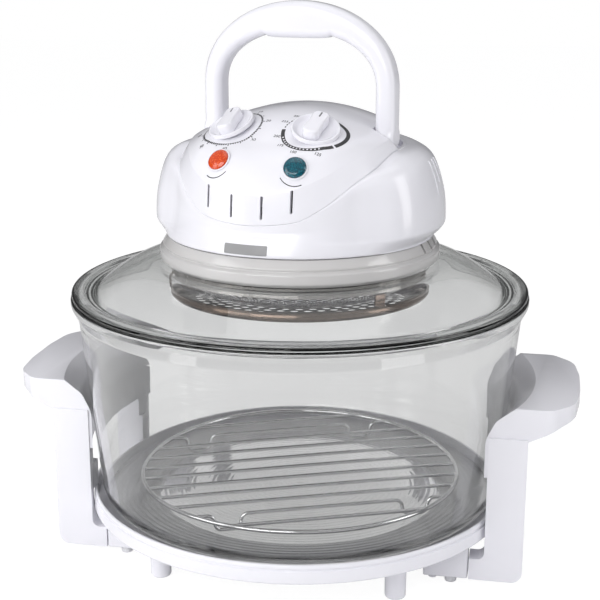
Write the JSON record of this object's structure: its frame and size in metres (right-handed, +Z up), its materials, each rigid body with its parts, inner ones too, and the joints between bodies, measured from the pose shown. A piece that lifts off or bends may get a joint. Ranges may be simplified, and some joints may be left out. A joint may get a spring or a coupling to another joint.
{
  "type": "halogen oven",
  "caption": "Countertop halogen oven: clear glass bowl on a white base with side handles, wire rack, glass lid with a domed heater head, dials, lamps and a folding carry handle.",
  "frame": {"origin": "on the table, under the centre of the bowl", "axes": "+Z up, -Y towards the user, +X to the user's right through the right side handle; the lid stands turned 12 degrees clockwise seen from above"},
  "size_m": [0.414, 0.3364, 0.4053],
  "materials": {
    "white_plastic": "glossy cool white moulding",
    "warm_white_plastic": "satin warm off-white moulding",
    "pad_rubber": "matt pale rubber",
    "clear_glass": "clear tempered glass with a faint grey green edge",
    "chrome_wire": "bright chromed wire",
    "polished_steel": "pressed bright steel",
    "dark_steel": "heat-tinted steel",
    "quartz_glass": "clear quartz tube",
    "ceramic": "matt white ceramic",
    "orange_lens": "glossy orange red lens",
    "teal_lens": "glossy dark teal lens",
    "black_plastic": "matt black moulding"
  },
  "bodies": {
    "base": {"base_ring": "white_plastic", "side_handle_left": "white_plastic", "side_handle_right": "white_plastic", "foot_front_left": "white_plastic", "foot_front_right": "white_plastic", "foot_rear_left": "white_plastic", "foot_rear_right": "white_plastic", "pad_front_left": "pad_rubber", "pad_front_right": "pad_rubber", "pad_rear_left": "pad_rubber", "pad_rear_right": "pad_rubber"},
    "bowl": {"glass_bowl": "clear_glass"},
    "rack": {"wire_rack": "chrome_wire"},
    "lid": {"lid_glass": "clear_glass", "lid_collar": "warm_white_plastic", "clamp_ring": "polished_steel", "head_shell": "white_plastic", "control_panel": "white_plastic", "heat_shield": "polished_steel", "reflector": "polished_steel", "halogen_tube": "quartz_glass", "tube_cap_left": "ceramic", "tube_cap_right": "ceramic", "heater_guard": "polished_steel", "guard_post_1": "dark_steel", "guard_post_2": "dark_steel", "guard_post_3": "dark_steel", "fan_motor": "polished_steel", "motor_bracket": "polished_steel", "safety_switch": "black_plastic", "terminal_block": "ceramic", "cable_gland": "black_plastic", "power_lamp": "orange_lens", "heat_lamp": "teal_lens", "timer_body": "black_plastic", "thermostat_body": "black_plastic", "handle_pin_left": "polished_steel", "handle_pin_right": "polished_steel"},
    "rotor": {"fan_shaft": "polished_steel", "convection_fan": "polished_steel", "cooling_fan": "black_plastic"},
    "timer": {"timer_knob": "white_plastic", "timer_spindle": "polished_steel"},
    "thermostat": {"thermostat_knob": "white_plastic", "thermostat_spindle": "polished_steel"},
    "carry_handle": {"carry_handle": "white_plastic"},
    "plunger": {"switch_plunger": "warm_white_plastic"}
  },
  "joints": [
    {"name": "bowl_lift", "type": "slide", "parent": "base", "child": "bowl", "axis": [0, 0, 1], "range_m": [0, 0.16]},
    {"name": "rack_lift", "type": "slide", "parent": "bowl", "child": "rack", "axis": [0, 0, 1], "range_m": [0, 0.13]},
    {"name": "lid_lift", "type": "slide", "parent": "bowl", "child": "lid", "axis": [0, 0, 1], "range_m": [0, 0.2]},
    {"name": "fan_spin", "type": "hinge", "parent": "lid", "child": "rotor", "pos_m": [0, 0, 0.215], "axis": [0, 0, 1], "continuous": true},
    {"name": "timer_turn", "type": "hinge", "parent": "lid", "child": "timer", "pos_m": [-0.03989, -0.03855, 0.31984], "axis": [-0.298, -0.3704, 0.8798], "range_deg": [-300, 0]},
    {"name": "thermostat_turn", "type": "hinge", "parent": "lid", "child": "thermostat", "pos_m": [0.02076, -0.05144, 0.31984], "axis": [0.1215, -0.4596, 0.8798], "range_deg": [-280, 0]},
    {"name": "handle_fold", "type": "hinge", "parent": "lid", "child": "carry_handle", "pos_m": [0, 0, 0.313], "axis": [0.9781, -0.2079, 0], "range_deg": [-76, 0]},
    {"name": "plunger_slide", "type": "slide", "parent": "lid", "child": "plunger", "axis": [-0.9781, 0.2079, 0], "range_m": [0, 0.002]}
  ],
  "couplings": [
    {"joint": "plunger_slide", "follows": "handle_fold", "m_per_rad": -0.0015}
  ]
}
